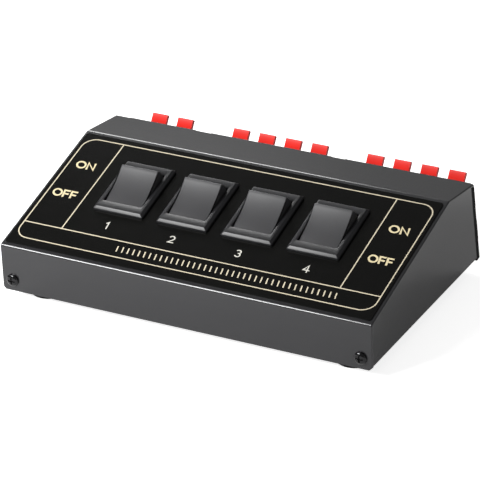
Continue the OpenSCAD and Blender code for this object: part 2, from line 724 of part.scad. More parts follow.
// The leads from the lugs: down, round a bend, and straight back to the terminal board
module switch_leads() color("#b02020") place()
    for (k = [0 : 3], x = [-1, 1] * lug_pitch_x / 2, row = [0, 1]) {
        bend = lead_bend + (row == 0 ? lead_bend_step : 0);
        s = switch_s + (row - 0.5) * lug_pitch_s;
        depth = -switch_depth - lug_l - 0.1;
        // the lug's end in the side view
        start = [s * cos(slope_a) - depth * sin(slope_a), bend_z + s * sin(slope_a) + depth * cos(slope_a)];
        centre = start + bend * [cos(slope_a), sin(slope_a)];
        turn = 90 - slope_a + rear_lean;
        finish = centre + bend * [sin(rear_lean), -cos(rear_lean)];
        back = (rear_y - finish[0]) * cos(rear_lean) + (base_z - finish[1]) * sin(rear_lean);
        translate([switch_x[k] + x, centre[0], centre[1]]) {
            rotate([90, 0, 90]) rotate([0, 0, 180 + slope_a]) rotate_extrude(angle = turn, $fn = 96)
                translate([bend, 0]) circle(r = lead_r, $fn = 24);
            rotate([rear_lean, 0, 0]) translate([0, 0, -bend]) rotate([-90, 0, 0])
                cylinder(r = lead_r, h = back - board_v - board_t - 0.1, $fn = 24);
        }
    }

module block_screws() color("#2a2a2a") place() rear_frame()
    translate([0, block_out - 1, 0]) block_screw_places()
        pan_screw(small_head_r, small_head_h, block_screw_r, block_out + rear_t + 1);

module rear_panel_screws() color("#2a2a2a") place() rear_frame() for (x = rear_screw_x)
    translate([x, 0, rear_screw_w]) rotate([-90, 0, 0])
        pan_screw(small_head_r, small_head_h, block_screw_r, rear_screw_l);

top_cover();
base_plate();
rear_panel();
panel_overlay();
for (k = [0 : 3]) {
    switch_frame(k);
    rocker(k);
    switch_lugs(k);
}
terminal_block(groups[0]);  // input_block
terminal_block(groups[1]);  // output_block_a
terminal_block(groups[2]);  // output_block_b
clips(groups[0]);  // input_clips
clips(groups[1]);  // output_clips_a
clips(groups[2]);  // output_clips_b
for (i = [0 : 9]) {
    color("#e8363a") lever(i);
    color("#1a1a1c") lever(i + 10);
}
terminal_board();
switch_leads();
feet();
foot_screws();
front_screws();
block_screws();
rear_panel_screws();
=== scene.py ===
"""Speaker selector switch: the looks of a folded steel console with rocker switches and push terminals.

Lengths in the settings are millimetres on the real object. The camera's place, the lamps and the meshes
are in metres in the frame's axes:
+X to the right of someone who faces the switches, +Y from the front lip to the terminals, +Z up.
"""

import json
import math

import bmesh
import bpy
import numpy as np
from mathutils import Euler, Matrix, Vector


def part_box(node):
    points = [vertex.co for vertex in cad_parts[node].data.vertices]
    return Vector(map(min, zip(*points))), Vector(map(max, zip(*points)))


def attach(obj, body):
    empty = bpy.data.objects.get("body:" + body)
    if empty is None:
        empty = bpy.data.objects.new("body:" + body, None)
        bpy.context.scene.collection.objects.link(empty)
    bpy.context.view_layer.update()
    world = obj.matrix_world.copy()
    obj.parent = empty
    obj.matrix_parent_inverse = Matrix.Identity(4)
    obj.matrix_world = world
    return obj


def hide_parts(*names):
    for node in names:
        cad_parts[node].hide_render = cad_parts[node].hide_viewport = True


bl_info = {
    "name": "Speaker selector console",
    "version": (1, 0, 0),
    "blender": (4, 5, 0),
    "location": "3D View > Sidebar > Console",
    "description": "Finishes and detail of a console with rocker switches and push terminals",
    "category": "Object",
}

MM = 0.001
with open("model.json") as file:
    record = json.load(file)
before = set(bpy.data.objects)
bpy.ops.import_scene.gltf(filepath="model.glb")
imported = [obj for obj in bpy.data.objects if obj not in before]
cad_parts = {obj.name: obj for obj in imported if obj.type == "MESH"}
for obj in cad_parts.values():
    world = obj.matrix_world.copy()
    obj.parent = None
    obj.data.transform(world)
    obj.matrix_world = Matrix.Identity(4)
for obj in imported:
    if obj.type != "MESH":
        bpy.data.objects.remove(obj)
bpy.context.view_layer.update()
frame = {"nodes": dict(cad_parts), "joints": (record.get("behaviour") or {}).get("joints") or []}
NODES = frame["nodes"]
JOINTS = {joint["child"]: joint for joint in frame["joints"]}
SWITCHES = [1, 2, 3, 4]
TERMINALS = list(range(1, 11))
FILM_T = 0.4  # thickness of the printed film, as in the solids


# ---- the sloping panel's own axes ----


def panel_frame():
    """Origin in millimetres, direction up the slope, outward normal and angle of the steel under the film.

    The film is a plate of length L and thickness t, turned by a about X, so its box measures
    L cos a + t sin a along Y and L sin a + t cos a along Z; three rounds of substitution give a.
    """
    low, high = (np.array(corner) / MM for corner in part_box("panel_overlay"))
    span = high - low
    slope = math.atan2(span[2], span[1])
    for _ in range(3):
        slope = math.atan2(span[2] - FILM_T * math.cos(slope), span[1] - FILM_T * math.sin(slope))
    up = np.array([0.0, math.cos(slope), math.sin(slope)])
    normal = np.array([0.0, -math.sin(slope), math.cos(slope)])
    origin = np.array([0.0, low[1] + FILM_T * math.sin(slope), low[2]])
    return origin, up, normal, slope


PANEL_O, PANEL_UP, PANEL_N, SLOPE = panel_frame()
FILM_EDGE = 2.0  # the film starts this far above the front bend


def on_panel(points):
    """Millimetres (x, s, n) on the panel, s from the front bend, to metres in the frame's axes."""
    p = np.asarray(points, float)
    x_axis = np.array([1.0, 0.0, 0.0])
    out = PANEL_O + p[..., :1] * x_axis + (p[..., 1:2] - FILM_EDGE) * PANEL_UP + p[..., 2:3] * PANEL_N
    return out * MM


# ---- settings ----


class PrintSettings(bpy.types.PropertyGroup):
    """The print on the black film."""

    line_w: bpy.props.FloatProperty(
        name="Line width", description="Width of the printed lines, mm", default=0.55, min=0.2, max=1.5
    )
    frame_x: bpy.props.FloatProperty(
        name="Frame half width", description="Middle of the panel to the frame line, mm", default=89.0
    )
    frame_low: bpy.props.FloatProperty(
        name="Frame low", description="Front bend to the frame's lower line, mm", default=6.8
    )
    frame_high: bpy.props.FloatProperty(
        name="Frame high", description="Front bend to the frame's upper line, mm", default=77.7
    )
    frame_r: bpy.props.FloatProperty(
        name="Frame radius", description="Corner radius of the frame line, mm", default=6.5
    )
    divider_x: bpy.props.FloatProperty(
        name="Divider", description="Middle of the panel to the dividers, mm", default=69.6
    )
    strip_s: bpy.props.FloatProperty(
        name="Strip line", description="Front bend to the line over the lower strip, mm", default=17.0
    )
    letter_h: bpy.props.FloatProperty(
        name="Letter height", description="Height of ON and OFF, mm", default=4.9
    )
    numeral_h: bpy.props.FloatProperty(
        name="Numeral height", description="Height of the numerals, mm", default=4.8
    )
    weight: bpy.props.FloatProperty(
        name="Stroke", description="Width of the strokes of letters and numerals, mm", default=0.95
    )
    numeral_weight: bpy.props.FloatProperty(
        name="Numeral stroke", description="Share of the stroke width that the numerals have", default=0.62
    )
    lean: bpy.props.FloatProperty(
        name="Lean", description="Sideways lean of the letters for each mm of height", default=-0.18
    )
    bar_h: bpy.props.FloatProperty(
        name="Bar height", description="Height of the bars in the lower strip, mm", default=3.6
    )
    bar_w: bpy.props.FloatProperty(
        name="Bar width", description="Width of a bar in the lower strip, mm", default=0.6
    )
    bars: bpy.props.IntProperty(
        name="Bars", description="How many bars the lower strip has", default=40, min=2, max=80
    )
    bar_first: bpy.props.FloatProperty(
        name="First bar", description="Middle of the panel to the first bar, mm", default=-38.0
    )
    bar_last: bpy.props.FloatProperty(
        name="Last bar", description="Middle of the panel to the last bar, mm", default=70.0
    )
    bar_s: bpy.props.FloatProperty(
        name="Bar line", description="Front bend to the middle of the bars, mm", default=11.9
    )


class SwitchSettings(bpy.types.PropertyGroup):
    """The rockers and their bezels."""

    bezel_w: bpy.props.FloatProperty(
        name="Bezel width", description="Outside width of a bezel, mm", default=25.4
    )
    bezel_l: bpy.props.FloatProperty(
        name="Bezel length", description="Outside length of a bezel up the slope, mm", default=33.7
    )
    bezel_h: bpy.props.FloatProperty(
        name="Bezel height", description="Height of a bezel over the film, mm", default=2.2
    )
    bevel: bpy.props.FloatProperty(
        name="Bevel", description="Bevel round the bezel, mm", default=1.1
    )
    edge_r: bpy.props.FloatProperty(
        name="Edge radius", description="Rounding of the moulded edges, mm", default=0.3
    )
    lead_in: bpy.props.FloatProperty(
        name="Lead-in", description="Slope round the pocket's edge, mm", default=0.3
    )
    pocket_w: bpy.props.FloatProperty(
        name="Pocket half width", description="Middle of the switch to the pocket's side, mm", default=9.8
    )
    pocket_r: bpy.props.FloatProperty(
        name="Pocket radius", description="Radius of the pocket about the pivot, mm", default=11.5
    )
    body_w: bpy.props.FloatProperty(
        name="Body half width", description="Half width of the body under the panel, mm", default=11.0
    )
    body_l: bpy.props.FloatProperty(
        name="Body half length", description="Half length of the body under the panel, mm", default=14.3
    )
    body_h: bpy.props.FloatProperty(
        name="Body depth", description="Depth of the body under the panel, mm", default=16.0
    )
    centre_s: bpy.props.FloatProperty(
        name="Centre", description="Front bend to the middle of the switches, mm", default=49.6
    )
    rocker_w: bpy.props.FloatProperty(
        name="Rocker width", description="Width of a rocker, mm", default=19.0
    )
    rocker_r: bpy.props.FloatProperty(
        name="Rocker radius", description="Radius of a rocker's ends about its pivot, mm", default=11.1
    )
    rocker_half: bpy.props.FloatProperty(
        name="Face half length", description="Half length of a rocker's face, mm", default=9.9
    )
    dish: bpy.props.FloatProperty(
        name="Dish", description="Depth of the hollow in a rocker's face, mm", default=1.05
    )
    skirt: bpy.props.FloatProperty(
        name="Skirt", description="Depth of a rocker's skirt under its pivot, mm", default=6.5
    )
    pivot_depth: bpy.props.FloatProperty(
        name="Pivot depth", description="Top of the bezel down to the pivot, mm", default=2.6
    )
    tilt: bpy.props.FloatProperty(
        name="Tilt", description="Rest angle of a rocker from the panel, degrees", default=19.0
    )
    edge_round: bpy.props.FloatProperty(
        name="End rounding", description="Rounding at the two ends of a rocker's face, mm", default=0.45
    )
    soft: bpy.props.FloatProperty(
        name="Soft edge", description="Rounding of a rocker's side edges, mm", default=0.5
    )


class FinishSettings(bpy.types.PropertyGroup):
    """Colours of the real finishes."""

    shell: bpy.props.StringProperty(
        name="Powder coat", description="sRGB hex of the shell's coat", default="#29292b"
    )
    film: bpy.props.StringProperty(
        name="Film", description="sRGB hex of the black film", default="#0d0d0c"
    )
    ink: bpy.props.StringProperty(
        name="Line ink", description="sRGB hex of the lines' ink", default="#e2d6ba"
    )
    letters: bpy.props.StringProperty(
        name="Letter ink", description="sRGB hex of the letters' ink", default="#ecdcb0"
    )
    rocker: bpy.props.StringProperty(
        name="Rocker", description="sRGB hex of the rockers", default="#363638"
    )
    bezel: bpy.props.StringProperty(
        name="Bezel", description="sRGB hex of the bezels", default="#212123"
    )
    lever_red: bpy.props.StringProperty(
        name="Red lever", description="sRGB hex of the red levers", default="#e6281f"
    )
    lever_black: bpy.props.StringProperty(
        name="Black lever", description="sRGB hex of the black levers", default="#1c1c1e"
    )


class StageSettings(bpy.types.PropertyGroup):
    """Camera and light."""

    lens: bpy.props.FloatProperty(
        name="Lens", description="Focal length on a 36 mm frame, mm", default=225.0, unit="CAMERA"
    )
    place: bpy.props.FloatVectorProperty(
        name="Camera", description="Place of the camera, m", size=3, subtype="TRANSLATION",
        default=(0.57894, -1.0613, 0.64009),
    )
    turn: bpy.props.FloatVectorProperty(
        name="Turn", description="Turn of the camera, degrees about X, Y and Z", size=3,
        default=(62.8391, 1.9547, 27.7254),
    )
    key: bpy.props.FloatProperty(
        name="Key", description="Power of the front left lamp, W", default=5.6, unit="POWER"
    )
    rim: bpy.props.FloatProperty(
        name="Rim", description="Power of the rear left lamp, W", default=1.4, unit="POWER"
    )
    fill: bpy.props.FloatProperty(
        name="Fill", description="Power of the right lamp, W", default=0.3, unit="POWER"
    )
    world: bpy.props.FloatProperty(
        name="World", description="Strength of the even light from all round", default=0.22
    )


# ---- nodes and materials ----


def linear(code):
    """sRGB hex to linear RGBA: c / 12.92 under 0.04045, else ((c + 0.055) / 1.055) to the power 2.4."""
    values = [int(code[i : i + 2], 16) / 255 for i in (1, 3, 5)]
    return [v / 12.92 if v <= 0.04045 else ((v + 0.055) / 1.055) ** 2.4 for v in values] + [1.0]


def add(tree, kind, settings=None, **inputs):
    """Adds a node, sets its properties and its sockets, and links each socket that is given an output."""
    node = tree.nodes.new(kind)
    for name, value in (settings or {}).items():
        setattr(node, name, value)
    for name, value in inputs.items():
        key = int(name[1:]) if name[0] == "i" and name[1:].isdigit() else name.replace("_", " ")
        socket = node.inputs[key]
        if isinstance(value, bpy.types.NodeSocket):
            tree.links.new(value, socket)
        else:
            socket.default_value = value
    return node


def new_material(name):
    """An empty node material and its tree, with an output."""
    material = bpy.data.materials.new(name)
    material.use_nodes = True
    material.node_tree.nodes.clear()
    return material, material.node_tree


def finish_material(tree, shader):
    """Links a shader to the material's output."""
    add(tree, "ShaderNodeOutputMaterial", Surface=shader)


def grain(tree, size_mm, detail=2.0, roughness=0.5):
    """Noise in the object's own coordinates whose bumps are about size_mm across."""
    where = add(tree, "ShaderNodeTexCoord").outputs["Object"]
    return add(
        tree, "ShaderNodeTexNoise", Vector=where, Scale=1 / (size_mm * MM), Detail=detail, Roughness=roughness
    ).outputs["Fac"]


NOISE_LOW, NOISE_HIGH = 0.3, 0.7  # most of a noise's values lie between these


def varied(tree, fac, dark, light):
    """A colour ramp between two hex colours over most of a noise's range."""
    ramp = add(tree, "ShaderNodeValToRGB", Fac=fac)
    for stop, place, code in zip(ramp.color_ramp.elements, (NOISE_LOW, NOISE_HIGH), (dark, light)):
        stop.position = place
        stop.color = linear(code)
    return ramp.outputs["Color"]


def spread(tree, fac, low, high):
    """Maps most of a noise's range to the range low to high."""
    ends = {"From_Min": NOISE_LOW, "From_Max": NOISE_HIGH, "To_Min": low, "To_Max": high}
    return add(tree, "ShaderNodeMapRange", Value=fac, **ends).outputs["Result"]


def bump(tree, height, depth_mm, strength=1.0, normal=None):
    """Normals of a relief of the given depth, over those of a coarser relief where one is given."""
    inputs = dict(Height=height, Distance=depth_mm * MM, Strength=strength)
    if normal is not None:
        inputs["Normal"] = normal
    return add(tree, "ShaderNodeBump", **inputs).outputs["Normal"]


def shade(code, factor):
    """A hex colour with each channel multiplied by factor."""
    return "#" + "".join(f"{min(255, max(0, round(int(code[i:i + 2], 16) * factor))):02x}" for i in (1, 3, 5))


def powder_coat(name, code, metal):
    """Powder coat with a skin of clear resin; metal is its share of metal flakes. Its orange peel is low and
    about 0.7 mm across. The eye sees long bright highlights on the bends and slightly cloudy flat faces."""
    material, tree = new_material(name)
    peel = grain(tree, 0.7, 2.0)
    tooth = grain(tree, 0.22, 1.0)
    cloud = grain(tree, 26.0, 3.0)
    colour = varied(tree, cloud, shade(code, 0.97), shade(code, 1.03))
    normal = bump(tree, tooth, 0.003, 0.5, bump(tree, peel, 0.008, 0.5))
    shader = add(
        tree, "ShaderNodeBsdfPrincipled", Base_Color=colour, Roughness=spread(tree, peel, 0.28, 0.33),
        Metallic=metal, Specular_IOR_Level=0.2, Coat_Weight=0.8, Coat_Roughness=0.15, Normal=normal,
    )
    finish_material(tree, shader.outputs["BSDF"])
    return material


def gloss_film(name, code):
    """Black screen-printed polyester film: smooth and deep black, a little wavy from the glue under it."""
    material, tree = new_material(name)
    wave = grain(tree, 9.0, 1.0)
    dust = grain(tree, 0.25, 1.0)
    shader = add(
        tree, "ShaderNodeBsdfPrincipled", Base_Color=varied(tree, wave, shade(code, 0.9), shade(code, 1.1)),
        Roughness=spread(tree, dust, 0.16, 0.2), IOR=1.45, Specular_IOR_Level=0.14,
        Normal=bump(tree, wave, 0.05, 0.2),
    )
    finish_material(tree, shader.outputs["BSDF"])
    return material


def screen_ink(name, code):
    """Opaque screen ink, a few hundredths of a millimetre thick, with a slightly uneven coat."""
    material, tree = new_material(name)
    patchy = grain(tree, 0.8, 2.0)
    shader = add(
        tree, "ShaderNodeBsdfPrincipled", Base_Color=varied(tree, patchy, shade(code, 0.93), code),
        Roughness=spread(tree, patchy, 0.4, 0.5), IOR=1.5, Specular_IOR_Level=0.3,
        Normal=bump(tree, patchy, 0.005, 0.4),
    )
    finish_material(tree, shader.outputs["BSDF"])
    return material


def moulded_plastic(name, code, roughness, texture_mm, depth_mm, level=0.4):
    """Injection-moulded plastic with a spark-eroded texture: an even fine grain, texture_mm across and
    depth_mm deep, that dulls the highlight a little; level is the strength of its gloss."""
    material, tree = new_material(name)
    spark = grain(tree, texture_mm, 2.0, 0.6)
    flow = grain(tree, 14.0, 2.0)
    colour = varied(tree, flow, shade(code, 0.96), shade(code, 1.04))
    shader = add(
        tree, "ShaderNodeBsdfPrincipled", Base_Color=colour,
        Roughness=spread(tree, spark, roughness - 0.03, roughness + 0.03), IOR=1.52, Specular_IOR_Level=level,
        Normal=bump(tree, spark, depth_mm, 0.6),
    )
    finish_material(tree, shader.outputs["BSDF"])
    return material


def foot_rubber(name):
    """Moulded rubber: near black, dull, with a fine pitted skin."""
    material, tree = new_material(name)
    pits = grain(tree, 0.4, 3.0, 0.6)
    shader = add(
        tree, "ShaderNodeBsdfPrincipled", Base_Color=varied(tree, pits, "#131313", "#1c1c1c"),
        Roughness=spread(tree, pits, 0.72, 0.85), IOR=1.52, Specular_IOR_Level=0.3,
        Normal=bump(tree, pits, 0.03, 0.5),
    )
    finish_material(tree, shader.outputs["BSDF"])
    return material


def black_oxide_steel(name):
    """Blackened steel screws: a thin oxide over metal, with sharp small highlights."""
    material, tree = new_material(name)
    fine = grain(tree, 0.3, 2.0)
    shader = add(
        tree, "ShaderNodeBsdfPrincipled", Base_Color=varied(tree, fine, "#161617", "#252527"), Metallic=0.9,
        Roughness=spread(tree, fine, 0.12, 0.2), Coat_Weight=0.5, Coat_Roughness=0.06,
        Normal=bump(tree, fine, 0.004, 0.4),
    )
    finish_material(tree, shader.outputs["BSDF"])
    return material


def bright_strip(name, dark, light, roughness):
    """Rolled and plated metal strip: fine lines along the rolling direction, under a millimetre wide and six
    times longer, that break up the mirror of the plating."""
    material, tree = new_material(name)
    where = add(tree, "ShaderNodeTexCoord").outputs["Object"]
    stretched = add(tree, "ShaderNodeMapping", Vector=where, Scale=(6.0, 1.0, 1.0)).outputs["Vector"]
    lines = add(tree, "ShaderNodeTexNoise", Vector=stretched, Scale=900.0, Detail=2.0).outputs["Fac"]
    shader = add(
        tree, "ShaderNodeBsdfPrincipled", Base_Color=varied(tree, lines, dark, light), Metallic=1.0,
        Roughness=spread(tree, lines, roughness - 0.05, roughness + 0.07),
        Normal=bump(tree, lines, 0.004, 0.5),
    )
    finish_material(tree, shader.outputs["BSDF"])
    return material


def paper_laminate(name):
    """Phenolic paper board: brown, with the paper's short fibres about a millimetre long."""
    material, tree = new_material(name)
    fibres = grain(tree, 1.1, 4.0, 0.65)
    shader = add(
        tree, "ShaderNodeBsdfPrincipled", Base_Color=varied(tree, fibres, "#6b4a25", "#8f6a3a"),
        Roughness=spread(tree, fibres, 0.45, 0.6), IOR=1.55, Normal=bump(tree, fibres, 0.01, 0.4),
    )
    finish_material(tree, shader.outputs["BSDF"])
    return material


SURFACES = {}


def surfaces():
    """Every material, made once and kept by its name."""
    if not SURFACES:
        c = bpy.context.scene.console_finish
        # the numbers of moulded_plastic are its roughness and the width and depth of its grain in mm
        SURFACES.update(
            shell=powder_coat("metal_effect_powder_coat_dark_grey", c.shell, 0.25),
            chassis=powder_coat("polyester_powder_coat_black", "#1d1d1f", 0.0),
            film=gloss_film("printed_polyester_film_black", c.film),
            ink=screen_ink("screen_ink_pale_gold", c.ink),
            letters=screen_ink("screen_ink_cream", c.letters),
            white=screen_ink("screen_ink_white", "#e2e0d6"),
            rocker=moulded_plastic("moulded_abs_rocker_grey", c.rocker, 0.41, 0.3, 0.006, level=1.0),
            bezel=moulded_plastic("moulded_abs_bezel_grey", c.bezel, 0.36, 0.3, 0.008, level=0.32),
            panel=moulded_plastic("moulded_abs_panel_black", "#0b0b0c", 0.62, 0.5, 0.015, level=0.08),
            block=moulded_plastic("moulded_nylon_block_black", "#1d1d1f", 0.48, 0.4, 0.012),
            lever_red=moulded_plastic("moulded_abs_lever_red", c.lever_red, 0.42, 0.35, 0.006, level=0.25),
            lever_black=moulded_plastic("moulded_abs_lever_black", c.lever_black, 0.36, 0.35, 0.006),
            rubber=foot_rubber("moulded_rubber_black"),
            screw=black_oxide_steel("black_oxide_steel"),
            clip=bright_strip("nickel_plated_spring_steel", "#b9b6ae", "#d9d6cf", 0.28),
            lug=bright_strip("tinned_brass", "#bdb59a", "#ddd6bd", 0.34),
            board=paper_laminate("phenolic_paper_laminate"),
            lead=moulded_plastic("pvc_insulation_red", "#b3201c", 0.4, 0.6, 0.006),
        )
    return SURFACES


# ---- meshes ----


def mesh_object(name, points, faces, material, smooth_angle=None):
    """A new object at the origin from points in metres and faces as index lists."""
    data = bpy.data.meshes.new(name)
    data.from_pydata(np.asarray(points, float).reshape(-1, 3), [], faces)
    data.materials.append(material)
    if smooth_angle is not None:
        data.shade_smooth()
        data.set_sharp_from_angle(angle=math.radians(smooth_angle))
    data.update()
    piece = bpy.data.objects.new(name, data)
    bpy.context.scene.collection.objects.link(piece)
    return piece


def grid_faces(rows, columns):
    """Quads between neighbouring rows of a grid of rows x columns points, in which each row is closed."""
    r = np.arange(rows - 1)[:, None]
    c = np.arange(columns)[None, :]
    nxt = (c + 1) % columns
    quads = np.stack([r * columns + c, r * columns + nxt, (r + 1) * columns + nxt, (r + 1) * columns + c], -1)
    return quads.reshape(-1, 4).tolist()


def capped_stack(rows):
    """Points and faces of a stack of closed rows (rows x columns x 3), with a flat face at each end."""
    count, columns = rows.shape[:2]
    faces = grid_faces(count, columns)
    faces.append(list(range(columns))[::-1])
    faces.append(list(range((count - 1) * columns, count * columns)))
    return rows.reshape(-1, 3), faces


def join_parts(parts):
    """Joins (points, faces) pairs into one pair."""
    points, faces, start = [], [], 0
    for p, f in parts:
        p = np.asarray(p).reshape(-1, 3)
        points.append(p)
        faces += [[i + start for i in face] for face in f]
        start += len(p)
    return np.concatenate(points), faces


def rounded_rectangle(half_x, half_y, radius, steps=5):
    """Points of a rectangle with rounded corners, anticlockwise: four quarter circles of the given radius."""
    turns = np.concatenate([np.linspace(q, q + np.pi / 2, steps + 1) for q in np.arange(4) * np.pi / 2])
    signs = np.repeat(np.array([[1, 1], [-1, 1], [-1, -1], [1, -1]]), steps + 1, axis=0)
    centres = signs * np.array([half_x - radius, half_y - radius])
    return centres + radius * np.stack([np.cos(turns), np.sin(turns)], 1)


def round_corners(points, radius, steps=5):
    """A closed outline whose corners become arcs: each arc's centre lies on the corner's bisector at
    radius / sin(half angle), and it touches both sides at radius / tan(half angle) from the corner."""
    p = np.asarray(points, float)
    before, after = np.roll(p, 1, 0) - p, np.roll(p, -1, 0) - p
    before /= np.linalg.norm(before, axis=1)[:, None]
    after /= np.linalg.norm(after, axis=1)[:, None]
    half = np.arccos(np.clip((before * after).sum(1), -1, 1))[:, None] / 2
    bisector = before + after
    centre = p + bisector / np.linalg.norm(bisector, axis=1)[:, None] * radius / np.sin(half)
    first, last = (p + side * radius / np.tan(half) - centre for side in (before, after))
    start, end = (np.arctan2(reach[:, 1], reach[:, 0]) for reach in (first, last))
    turn = (end - start + np.pi) % (2 * np.pi) - np.pi
    a = start[:, None] + turn[:, None] * np.linspace(0, 1, steps + 1)
    return (centre[:, None] + radius * np.stack([np.cos(a), np.sin(a)], -1)).reshape(-1, 2)


def corner_arc(before, corner, after, radius, steps=4):
    """The arc that takes the place of one corner between two neighbouring points of an outline."""
    return round_corners([before, corner, after], radius, steps)[steps + 1 : 2 * (steps + 1)]


def mitres(points, closed=True):
    """For each point of a path, how far it goes for one unit to the left: the sum of its two side normals
    divided by one plus their product, which keeps the sides parallel. Very sharp corners are cut short."""
    p = np.asarray(points, float)
    ahead = np.roll(p, -1, 0) - p
    if not closed:
        ahead[-1] = ahead[-2]
    ahead /= np.linalg.norm(ahead, axis=1)[:, None]
    behind = np.roll(ahead, 1, 0)
    if not closed:
        behind[0] = ahead[0]
    n1 = np.stack([-behind[:, 1], behind[:, 0]], 1)
    n2 = np.stack([-ahead[:, 1], ahead[:, 0]], 1)
    return (n1 + n2) / np.maximum(1 + (n1 * n2).sum(1), 0.35)[:, None]


def offset_outline(points, distance):
    """An anticlockwise outline moved inward by the distance, with its sides kept parallel."""
    return np.asarray(points, float) + distance * mitres(points)


def soft_prism(outline, half_width, soft, steps=4):
    """A side view (y, z) carried along x, with its rim rounded: at angle a of the rim the outline is
    moved inward by soft (1 - cos a) and stands at half width - soft + soft sin a."""
    a = np.linspace(np.pi / 2, 0, steps + 1)
    side = [(half_width - soft + soft * math.sin(t), soft * (1 - math.cos(t))) for t in a]
    places = side + [(-x, d) for x, d in side[::-1]]
    rows = []
    for x, d in places:
        ring = offset_outline(outline, d) if d > 1e-9 else np.asarray(outline, float)
        rows.append(np.column_stack([np.full(len(ring), x), ring]))
    rows = np.array(rows)
    points, faces = capped_stack(rows)
    return points, [face[::-1] for face in faces]


def ride_and_slot(piece, body, slot, *replaced):
    """The piece moves with a body and stands for the given CAD nodes, which it hides; the slot is not used.
    """
    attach(piece, body)
    if replaced:
        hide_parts(*replaced)
    return piece


def dress(node, material):
    """Gives a CAD node its finish, in every slot of its mesh."""
    mesh = NODES[node].data
    mesh.materials.clear()
    mesh.materials.append(material)


def smooth_copy(node, name, material, sharp=30.0):
    """A merged copy of a CAD node with its flat facets joined, smooth except at edges sharper than the
    given angle, and with normals that follow the larger faces."""
    work = bmesh.new()
    work.from_mesh(NODES[node].data)
    bmesh.ops.remove_doubles(work, verts=work.verts, dist=1e-6)
    bmesh.ops.dissolve_limit(work, angle_limit=math.radians(0.6), verts=work.verts, edges=work.edges)
    data = bpy.data.meshes.new(name)
    work.to_mesh(data)
    work.free()
    data.materials.append(material)
    data.shade_smooth()
    data.set_sharp_from_angle(angle=math.radians(sharp))
    piece = bpy.data.objects.new(name, data)
    bpy.context.scene.collection.objects.link(piece)
    weigh_normals(piece)
    return piece


def weigh_normals(piece):
    """Lets the normals at an edge follow the larger face, and keeps the sharp edges sharp."""
    normals = piece.modifiers.new("even_normals", "WEIGHTED_NORMAL")
    normals.keep_sharp = True


def softened_copy(node, name, material, width_mm, angle=40.0):
    """A smooth copy of a CAD node whose edges sharper than the given angle, in degrees, are rounded by a
    bevel of the given width."""
    piece = smooth_copy(node, name, material)
    piece.modifiers.clear()
    bevel = piece.modifiers.new("soft_edges", "BEVEL")
    bevel.width = width_mm * MM
    bevel.segments = 2
    bevel.limit_method = "ANGLE"
    bevel.angle_limit = math.radians(angle)
    bevel.use_clamp_overlap = True
    weigh_normals(piece)
    return piece


# ---- operators: one for each piece or group of like pieces ----


class CONSOLE_OT_shell(bpy.types.Operator):
    """Folded steel shell with smooth bends, its base plate and its rear panel"""

    bl_idname = "console.shell"
    bl_label = "Folded shell"

    def execute(self, context):
        s = surfaces()
        shell = smooth_copy("top_cover", "folded_shell", s["shell"])
        ride_and_slot(shell, "console", "shell_paint", "top_cover")
        dress("base_plate", s["chassis"])
        panel = softened_copy("rear_panel", "rear_panel_moulding", s["panel"], width_mm=0.25)
        ride_and_slot(panel, "console", "panel_plastic", "rear_panel")
        return {"FINISHED"}


class CONSOLE_OT_film(bpy.types.Operator):
    """Black printed film on the sloping panel"""

    bl_idname = "console.film"
    bl_label = "Printed film"

    def execute(self, context):
        dress("panel_overlay", surfaces()["film"])
        return {"FINISHED"}


INK_N = FILM_T + 0.02  # the ink's top stands this far over the steel
INK_T = 0.03  # and the ink is this thick, so it starts inside the film


def ink_band(path, width, closed=False):
    """A flat printed line: the path moved by half its width to each side, in the panel's axes."""
    p = np.asarray(path, float)
    aside = mitres(p, closed) * width / 2
    low = INK_N - INK_T
    corners = ((p - aside, low), (p - aside, INK_N), (p + aside, INK_N), (p + aside, low))
    rows = np.array([np.column_stack([q, np.full(len(q), n)]) for q, n in corners])
    if closed:
        loop = np.concatenate([rows, rows[:1]])
        return on_panel(loop).reshape(-1, 3), grid_faces(5, len(p))
    points, faces = capped_stack(rows.transpose(1, 0, 2))
    return on_panel(points), faces


class CONSOLE_OT_lines(bpy.types.Operator):
    """Printed frame, dividers and strip line"""

    bl_idname = "console.lines"
    bl_label = "Printed lines"

    def execute(self, context):
        p = context.scene.console_print
        corners = [
            [p.frame_x, p.frame_low],
            [p.frame_x, p.frame_high],
            [-p.frame_x, p.frame_high],
            [-p.frame_x, p.frame_low],
        ]
        outline = round_corners(corners, p.frame_r, 10)
        parts = [ink_band(outline, p.line_w, closed=True)]
        inside = p.line_w / 2
        parts.append(ink_band([[-p.frame_x + inside, p.strip_s], [p.frame_x - inside, p.strip_s]], p.line_w))
        for x in (-p.divider_x, p.divider_x):
            parts.append(ink_band([[x, p.strip_s + inside], [x, p.frame_high - inside]], p.line_w))
        piece = mesh_object("printed_lines", *join_parts(parts), surfaces()["ink"])
        correct_normals(piece)
        ride_and_slot(piece, "console", "overlay_film")
        return {"FINISHED"}


def correct_normals(piece):
    """Turns every face of a closed piece outwards."""
    work = bmesh.new()
    work.from_mesh(piece.data)
    bmesh.ops.remove_doubles(work, verts=work.verts, dist=1e-8)
    bmesh.ops.recalc_face_normals(work, faces=work.faces)
    work.to_mesh(piece.data)
    work.free()


def arc(x, y, rx, ry, first, last, steps=12):
    """Points (x + rx cos a, y + ry sin a) for a from first to last degrees."""
    a = np.radians(np.linspace(first, last, steps + 1))
    return np.stack([x + rx * np.cos(a), y + ry * np.sin(a)], 1)


